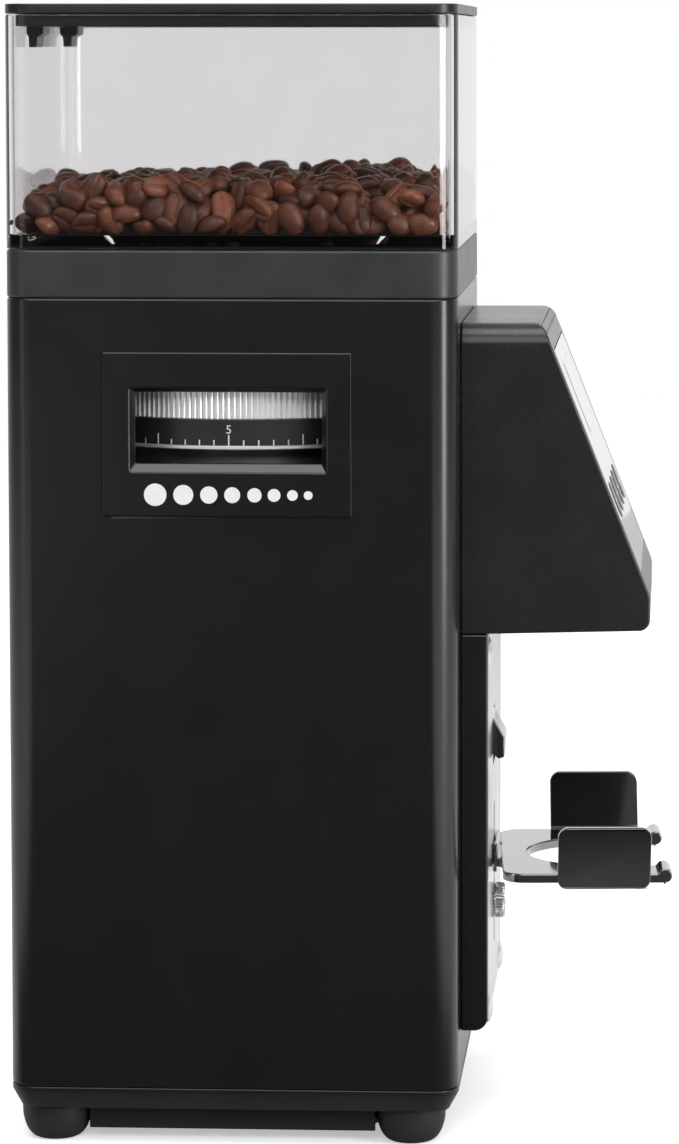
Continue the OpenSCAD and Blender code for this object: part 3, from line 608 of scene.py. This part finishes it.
def bean_bed():
    """Dark filling behind the beans that show, so that no light comes through between them."""
    (x0, x1), (y0, y1), (cone_low, top) = span("coffee_beans")
    inset, drop, lift, axis = 9.5, 10.5, 0.3, 0.01
    foot_r, mouth_r, columns = 12, 42, 32
    x0, x1, y0, y1 = x0 + inset, x1 - inset, y0 + inset, y1 - inset
    corners = [(x0, y0), (x1, y0), (x1, y1), (x0, y1)]
    points = [(x, y, level) for level in (HOPPER_FLOOR + lift, top - drop) for x, y in corners]
    faces = [(3, 2, 1, 0), (4, 5, 6, 7), *wrapped(2, len(corners))]
    foot, mouth = cone_low + CONE_FOOT, HOPPER_FLOOR
    rows = [(axis, foot, 0), (foot_r, foot, 0), (mouth_r, mouth, 0), (axis, mouth, 0)]
    cone_points, cone_faces = lathe(rows, columns, upright)
    faces += [tuple(i + len(points) for i in face) for face in cone_faces]
    mesh = mesh_of("coffee_bean_bed", points + cone_points, faces)
    link("coffee_bean_bed", mesh, "hopper", "bean_shadow")


def hopper_inlay():
    """A thin dark sheet of painted shade in the hopper's floor round its mouth, hiding the deck
    below.
    """
    (x0, x1), (_, y1), _ = span("hopper_bin")
    inset, mouth, count, tiny = 3, 61.5, 96, 0.001
    left, right, back = x0 + inset, x1 - inset, y1 - inset
    bottom, top = HOPPER_FLOOR - 4.6, HOPPER_FLOOR - 4.2
    points = []
    for level in (bottom, top):
        for a in round_turns(count):
            c, s = math.cos(a), math.sin(a)
            along = (right - AXIS_X if c > 0 else AXIS_X - left) / max(abs(c), tiny)
            reach = min(along, back / max(abs(s), tiny))
            points += [upright(mouth * c, mouth * s, level), upright(reach * c, reach * s, level)]
    faces = []
    for k in range(count):
        i, j, up = 2 * k, 2 * ((k + 1) % count), 2 * count
        faces += [(i, j, j + 1, i + 1), (up + i, up + i + 1, up + j + 1, up + j),
                  (i, up + i, up + j, j), (i + 1, j + 1, up + j + 1, up + i + 1)]
    mesh = mesh_of("hopper_inlay", points, faces)
    # Painted shade: the dark sheet darkens what shows through the clear floor.
    link("hopper_inlay", mesh, "hopper", "inlay_black")


# ---- Body ----


def body_pieces():
    refined("top_collar", 0.8, 3, finish="collar_satin")
    refined("body_shell", 1.0, 3)
    refined("base_pan", 0.4, 2)
    refined("bottom_cover", 0.5, 2)
    refined("feet", 0.4, 2, angle=45)
    refined("chute_housing", 0.8, 3, finish="housing_satin")
    refined("column_cover", 0.8, 3)


# ---- Window ----


def adjusting_ring():
    """The ring: a lip under the scale band, and a fine knurl above it."""
    teeth, steps, knurl = 210, 4, 0.5
    lip_low, high = span("adjusting_ring")[2]
    low, shoulder = BAND_Z
    bore, lip_bore = 50.3, 60
    lip_r, behind_band, valley = RING_R - 0.15, BAND_R - 0.3, RING_R - knurl - 0.1
    rows = [
        (bore, low, 0), (lip_bore, low, 0), (lip_bore, lip_low, 0), (RING_R - 0.5, lip_low, 0),
        (lip_r, lip_low + 0.35, 0), (lip_r, low - 0.3, 0), (RING_R - 0.4, low, 0),
        (behind_band, low, 0), (behind_band, shoulder, 0),
        (valley, shoulder, 0), (RING_R, shoulder + 0.5, knurl), (RING_R, high - 0.7, knurl),
        (valley, high, 0), (bore, high, 0),
    ]
    points, faces = lathe(rows, teeth * steps, upright, lambda column: column % steps == 0)
    mesh = mesh_of("adjusting_ring_knurled", points, faces)
    smooth(mesh, 30)
    piece = link("adjusting_ring_knurled", mesh, "ring", "knurled_metal")
    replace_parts(piece, "adjusting_ring")


def on_band(angle, across, z, proud=0.03):
    """A point on the scale band: across millimetres round from an angle in degrees."""
    turn = math.radians(angle) + across / BAND_R
    radius = BAND_R + proud
    return upright(radius * math.cos(turn), radius * math.sin(turn), z)


def numeral(digit, size):
    """A flat mesh of one numeral, centred on its own X."""
    text = bpy.data.curves.new("numeral", "FONT")
    text.body = str(digit)
    text.size = size
    text.align_x = "CENTER"
    text.resolution_u = 4
    holder = bpy.data.objects.new("numeral", text)
    bpy.context.scene.collection.objects.link(holder)
    graph = bpy.context.evaluated_depsgraph_get()
    flat = bpy.data.meshes.new_from_object(holder.evaluated_get(graph))
    bpy.data.objects.remove(holder)
    return flat


def scale_marks():
    """Lines round the band, every fifth one long, with a numeral over every tenth."""
    divisions, numerals, at_front, front = 80, 8, 5, -91.3
    half, long_mark, short_mark = 0.24, 3.9, 2.0
    foot, text_foot, text_size = BAND_Z[0] + 0.1, BAND_Z[0] + 4.5, 4.4
    points, faces = [], []
    for i in range(divisions):
        angle = front + i * 360 / divisions
        head = foot + (long_mark if i % 5 == 0 else short_mark)
        start = len(points)
        points += [on_band(angle, -half, foot), on_band(angle, half, foot),
                   on_band(angle, half, head), on_band(angle, -half, head)]
        faces.append(tuple(range(start, len(points))))
    for i in range(numerals):
        flat = numeral((i + at_front - 1) % numerals + 1, text_size)
        angle = front + i * 360 / numerals
        start = len(points)
        points += [on_band(angle, v.co.x, text_foot + v.co.y) for v in flat.vertices]
        faces += [tuple(v + start for v in face.vertices) for face in flat.polygons]
    mesh = mesh_of("scale_marks", points, faces)
    link("scale_marks", mesh, "ring", "mark_white")


def grind_dots():
    """A row of dots from coarse to fine under the window."""
    middles = (55.1, 65.3, 74.6, 83.1, 91.2, 98.3, 105.0, 110.7)
    radii = (4.1, 3.65, 3.15, 2.9, 2.6, 2.35, 1.95, 1.6)
    level = BEZEL_FOOT + 8
    points, faces = [], []
    for x, radius in zip(middles, radii):
        start = len(points)
        points += [(across, BEZEL_FACE, up) for across, up in disc((x, level), radius, sides=40)]
        faces.append(tuple(range(start, len(points))))
    mesh = mesh_of("grind_dots", points, faces)
    link("grind_dots", mesh, "body", "mark_white")


def bezel():
    near, back = 0.02, 0.04

    def sink(work):
        """The front face goes back a hair, so that the dots lie on it inside the CAD box."""
        for vertex in work.verts:
            if vertex.co.y < (BEZEL_FACE + near) * MM:
                vertex.co.y += back * MM

    refined("scale_bezel", 0.5, 3, angle=20, reshape=sink, finish="shell_paint")


# ---- Control panel ----


def bar(reach, half):
    """A minus sign of the given reach and half width."""
    return [(-reach, -half), (reach, -half), (reach, half), (-reach, half)]


def cross(reach, half):
    """A plus sign with arms of the given reach and half width."""
    ring, corner = [], [(half, half), (half, reach), (-half, reach)]
    for _ in range(4):
        ring += corner
        corner = [(-up, across) for across, up in corner]
    return ring


def key_marks():
    """Signs on the four keys: one dot, two dots, less and more."""
    (x0, x1), (y0, y1), (z0, z1) = span("touch_keys")
    lean, key_r, key_half, proud = math.radians(68.54), 7, 1.25, 0.03
    dot_r, apart, reach, half = 1.1, 1.9, 2.4, 0.45
    signs = ([disc((0, 0), dot_r)], [disc((-apart, 0), dot_r), disc((apart, 0), dot_r)],
             [bar(reach, half)], [cross(reach, half)])
    middles = np.linspace(y0 + key_r, y1 - key_r, len(signs))
    out = key_half + proud
    points, faces = [], []
    for middle, rings in zip(middles, signs):
        for ring in rings:
            start = len(points)
            for across, up in ring:
                x = (x0 + x1) / 2 + out * math.sin(lean) - up * math.cos(lean)
                z = (z0 + z1) / 2 + out * math.cos(lean) + up * math.sin(lean)
                points.append((x, middle + across, z))
            faces.append(tuple(range(start, len(points))))
    link("key_marks", mesh_of("key_marks", points, faces), "body", "mark_white")


# ---- Fork, trigger and knob ----


def fork_pieces():
    refined("fork_plate", 0.6, 3, angle=40)
    refined("fork_ears", 0.5, 3, angle=45)
    refined("trigger", 0.6, 3)
    refined("fork_carriage", 0.4, 2)


def fork_knob():
    """A knurled head with a dished end, on its screw."""
    (x0, x1), _, (z0, z1) = span("fork_knob")
    radius, middle = (z1 - z0) / 2, (z0 + z1) / 2
    clear, centre, screw_r, knurl, dish = 0.3, 0.01, 2.5, 0.4, 0.4
    face = span("front_plate")[0][1] + clear
    rows = [
        (centre, x0, 0), (screw_r, x0, 0), (screw_r, face, 0), (radius - 0.6, face, 0),
        (radius, face + 0.5, knurl), (radius, x1 - 0.7, knurl), (radius - 0.7, x1, 0),
        (radius - 2.2, x1, 0), (radius - 2.6, x1 - dish, 0), (centre, x1 - dish, 0),
    ]
    teeth, profile = 36, (0, 0, 1, 1)
    points, faces = lathe(rows, teeth * len(profile), lambda a, b, h: (h, a, middle + b),
                          lambda column: profile[column % len(profile)])
    mesh = mesh_of("fork_knob_knurled", points, faces)
    smooth(mesh, 35)
    piece = link("fork_knob_knurled", mesh, "knob", "knob_steel")
    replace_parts(piece, "fork_knob")


# ---- The rest of the machine ----

TRIM_WIDTHS = {
    "front_plate": 0.2, "plate_screws": 0.15, "collar_screws": 0.25, "foot_screws": 0.25,
    "control_panel": 0.3, "display_lens": 0.25, "touch_keys": 0.25, "inlet_panel": 0.35,
    "power_rocker": 0.6, "cable_gland": 0.35, "spout": 0.3, "chute_flap": 0.15,
    "chute_duct": 0.3, "frame_pillars": 0.3, "ring_retainer": 0.3, "motor_plate": 0.5,
    "scale_band": 0.15, "upper_burr_carrier": 0.25, "lower_burr_carrier": 0.25,
    "grinding_chamber": 0.4, "feed_nut": 0.3, "upper_burr": 0.12, "lower_burr": 0.12,
    "rotor_shaft": 0.4, "rotor_core": 0.4, "cooling_fan": 0.3, "upper_end_bell": 0.3,
    "lower_end_bell": 0.3, "stator_core": 0.4, "motor_bolts": 0.3, "shaft_bearings": 0.25,
    "motor_capacitor": 0.5, "power_board": 0.25, "control_board": 0.2, "microswitch": 0.25,
    "guide_pins": 0.3, "trigger_pin": 0.2, "stator_windings": 0.8, "upper_burr_screws": 0.15,
    "lower_burr_screws": 0.15,
}


def trim_pieces():
    for node_name, width in TRIM_WIDTHS.items():
        refined(node_name, width)


def kept_nodes():
    """CAD nodes that show as they are get their finish."""
    for node_name in ("carrier_springs", "trigger_spring"):
        mesh = frame["nodes"][node_name].data
        mesh.materials.clear()
        mesh.materials.append(FINISHES[SLOTS[node_name]])


# ---- Camera, light and floor ----


def camera():
    """A long lens on the window side, a little to the right, looking slightly down."""
    down, aside = 3.825, 2.782
    data = bpy.data.cameras.new("camera")
    data.lens = 131.05
    data.sensor_width = 36
    data.shift_x, data.shift_y = -0.118, -0.22
    data.clip_end = 50
    made = bpy.data.objects.new("camera", data)
    made.location = (0.1221, -1.5745, 0.4042)
    made.rotation_euler = (math.radians(90 - down), 0, math.radians(aside))
    bpy.context.scene.collection.objects.link(made)
    bpy.context.scene.camera = made


def seen_directly(tree):
    """1 where the camera looks, straight or through clear plastic; 0 for light and reflections."""
    path = shader_node(tree, "LightPath").outputs
    bounced = maths(tree, "ADD", path["Glossy Depth"], path["Diffuse Depth"])
    clear = maths(tree, "LESS_THAN", bounced, 0.5)
    through = maths(tree, "MULTIPLY", clear, path["Is Transmission Ray"])
    return maths(tree, "MAXIMUM", path["Is Camera Ray"], through)


def sky():
    """White all round to the camera; for the object, white behind and above, and dim in front."""
    world = bpy.data.worlds.new("studio")
    bpy.context.scene.world = world
    world.use_nodes = True
    tree = world.node_tree
    way = shader_node(tree, "TexCoord").outputs["Generated"]
    part = shader_node(tree, "SeparateXYZ", {"Vector": way}).outputs
    behind = {"Value": part["Y"], "From Min": 0.1, "From Max": 0.8, "To Min": 0.06, "To Max": 0.95}
    above = {"Value": part["Z"], "From Min": 0.5, "From Max": 0.95, "To Min": 0.0, "To Max": 0.8}
    shares = [shader_node(tree, "MapRange", inputs, interpolation_type="SMOOTHSTEP")
              for inputs in (behind, above)]
    lit = maths(tree, "MAXIMUM", *[share.outputs["Result"] for share in shares])
    level = shader_node(tree, "Mix", {"Factor": seen_directly(tree), "A": lit, "B": 1.0})
    background = tree.nodes["Background"]
    tree.links.new(level.outputs["Result"], background.inputs["Strength"])
    background.inputs["Color"].default_value = (1, 1, 1, 1)


LIGHTS_AIM = Vector((0, 0, 0.2))


def softbox(name, azimuth, elevation, distance, size, radiance):
    """A rectangular light aimed at the object. Azimuth 0 is before the window, 90 at +X."""
    data = bpy.data.lights.new(name, "AREA")
    data.shape = "RECTANGLE"
    data.size, data.size_y = size
    data.energy = radiance * math.pi * size[0] * size[1]
    a, e = math.radians(azimuth), math.radians(elevation)
    away = Vector((math.sin(a) * math.cos(e), -math.cos(a) * math.cos(e), math.sin(e)))
    made = bpy.data.objects.new(name, data)
    made.location = LIGHTS_AIM + away * distance
    made.rotation_mode = "QUATERNION"
    made.rotation_quaternion = away.to_track_quat("Z", "Y")
    made.visible_camera = False
    bpy.context.scene.collection.objects.link(made)


def lights():
    softbox("key_right", azimuth=59, elevation=8, distance=2.2, size=(0.6, 1.9), radiance=11.0)
    softbox("fill_left", azimuth=-48, elevation=6, distance=2.2, size=(0.5, 1.2), radiance=0.8)
    softbox("front_high", azimuth=4, elevation=29, distance=2.2, size=(1.9, 1.1), radiance=2.7)
    softbox("overhead", azimuth=0, elevation=72, distance=2.0, size=(2.2, 1.2), radiance=3.6)


def floor():
    """A floor that is white to the camera, and dark before the object in its reflections."""
    size, patch_x, glow = 3.0, 0.08, 0.45
    corners = [(-size, -size, 0), (size, -size, 0), (size, size, 0), (-size, size, 0)]
    mesh = bpy.data.meshes.new("floor")
    mesh.from_pydata(corners, [], [(0, 1, 2, 3)])
    material = bpy.data.materials.new("floor_white")
    material.use_nodes = True
    tree = material.node_tree
    shader = tree.nodes["Principled BSDF"]
    direct = seen_directly(tree)
    grit = shader_node(tree, "TexNoise", {"Scale": 900.0, "Detail": 2.0}).outputs["Fac"]
    gritty = {"Value": grit, "To Min": 0.90, "To Max": 0.94}
    pale = shader_node(tree, "MapRange", gritty).outputs["Result"]
    place = shader_node(tree, "TexCoord").outputs["Object"]
    spot = shader_node(tree, "SeparateXYZ", {"Vector": place}).outputs
    beside = maths(tree, "ABSOLUTE", maths(tree, "ADD", spot["X"], patch_x))
    behind = {"Value": spot["Y"], "From Min": -0.11, "From Max": -0.02}
    aside = {"Value": beside, "From Min": 0.29, "From Max": 0.38}
    shares = [shader_node(tree, "MapRange", inputs) for inputs in (behind, aside)]
    outside = maths(tree, "MAXIMUM", *[share.outputs["Result"] for share in shares])
    mirrored = shader_node(tree, "MapRange", {"Value": outside, "To Min": 0.07, "To Max": 0.9})
    tone = shader_node(tree, "Mix", {"Factor": direct, "A": mirrored.outputs["Result"], "B": pale})
    tree.links.new(tone.outputs["Result"], shader.inputs["Base Color"])
    shader.inputs["Roughness"].default_value = 0.9
    shader.inputs["Specular IOR Level"].default_value = 0.0
    shader.inputs["Emission Color"].default_value = (1, 1, 1, 1)
    tree.links.new(maths(tree, "MULTIPLY", direct, glow), shader.inputs["Emission Strength"])
    mesh.materials.append(material)
    made = bpy.data.objects.new("floor", mesh)
    bpy.context.scene.collection.objects.link(made)


bpy.context.scene.view_settings.view_transform = "Standard"
camera()
sky()
lights()
floor()

hopper_lid()
hopper_bin()
coffee_beans()
bean_bed()
hopper_inlay()
body_pieces()
adjusting_ring()
scale_marks()
bezel()
grind_dots()
key_marks()
fork_pieces()
fork_knob()
trim_pieces()
kept_nodes()

bpy.context.view_layer.update()
